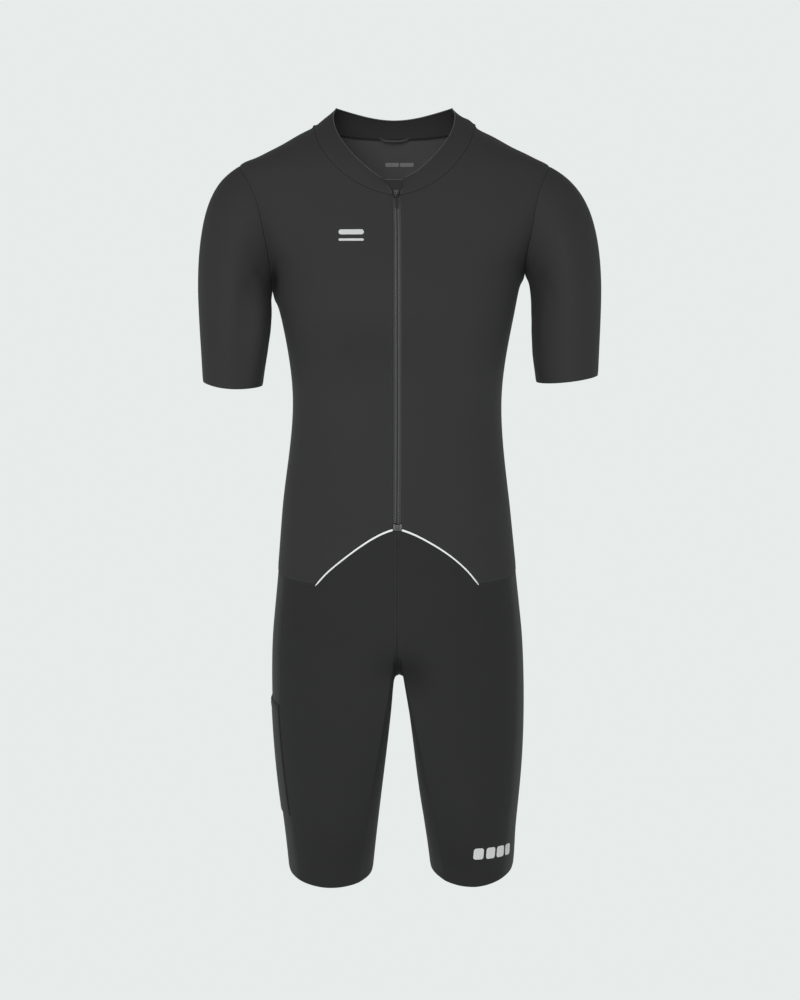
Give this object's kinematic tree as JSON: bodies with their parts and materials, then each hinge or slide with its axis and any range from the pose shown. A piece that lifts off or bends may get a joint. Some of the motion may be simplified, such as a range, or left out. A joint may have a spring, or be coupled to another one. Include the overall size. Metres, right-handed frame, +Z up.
{
  "type": "cycling skinsuit",
  "caption": "Short-sleeved cycling skinsuit in its worn, hollow shape, with a full-length front zip, stand-up collar, arched jersey hem with reflective edging and a thigh pocket.",
  "frame": {"origin": "on the body's centre plane, level with the neck points of the shoulders, where the wearer's shoulders carry the suit", "axes": "+Z up along the body, -Y out of the chest, +X to the wearer's left"},
  "size_m": [0.5381, 0.2371, 1.0317],
  "materials": {
    "jersey_cloth": "matt black stretch knit",
    "shorts_cloth": "matt black stretch knit, a little darker",
    "side_cloth": "matt dark grey fine mesh",
    "collar_cloth": "matt black double knit",
    "reflective_edging": "pale reflective film",
    "zip_tape_cloth": "dark grey woven tape",
    "zip_teeth": "dark moulded teeth",
    "zip_slider_metal": "dark lacquered metal"
  },
  "bodies": {
    "suit": {"collar": "collar_cloth", "hanger_loop": "zip_tape_cloth", "jersey_back": "jersey_cloth", "jersey_front_left": "jersey_cloth", "jersey_front_right": "jersey_cloth", "piping_left": "reflective_edging", "piping_right": "reflective_edging", "shorts_back_left": "shorts_cloth", "shorts_back_right": "shorts_cloth", "shorts_front_left": "shorts_cloth", "shorts_front_right": "shorts_cloth", "shorts_side_left": "side_cloth", "shorts_side_right": "side_cloth", "sleeve_left": "jersey_cloth", "sleeve_right": "jersey_cloth", "thigh_pocket": "side_cloth", "zip_bottom_box": "zip_slider_metal", "zip_chain": "zip_teeth", "zip_guard": "jersey_cloth", "zip_slider": "zip_slider_metal", "zip_tape_left": "zip_tape_cloth", "zip_tape_right": "zip_tape_cloth"},
    "pull_tab": {"zip_pull_tab": "zip_slider_metal"}
  },
  "joints": [
    {"name": "pull_tab_hinge", "type": "hinge", "parent": "suit", "child": "pull_tab", "pos_m": [-0.00153, -0.08162, -0.08938], "axis": [-1, 0, 0], "range_deg": [0, 160]}
  ]
}
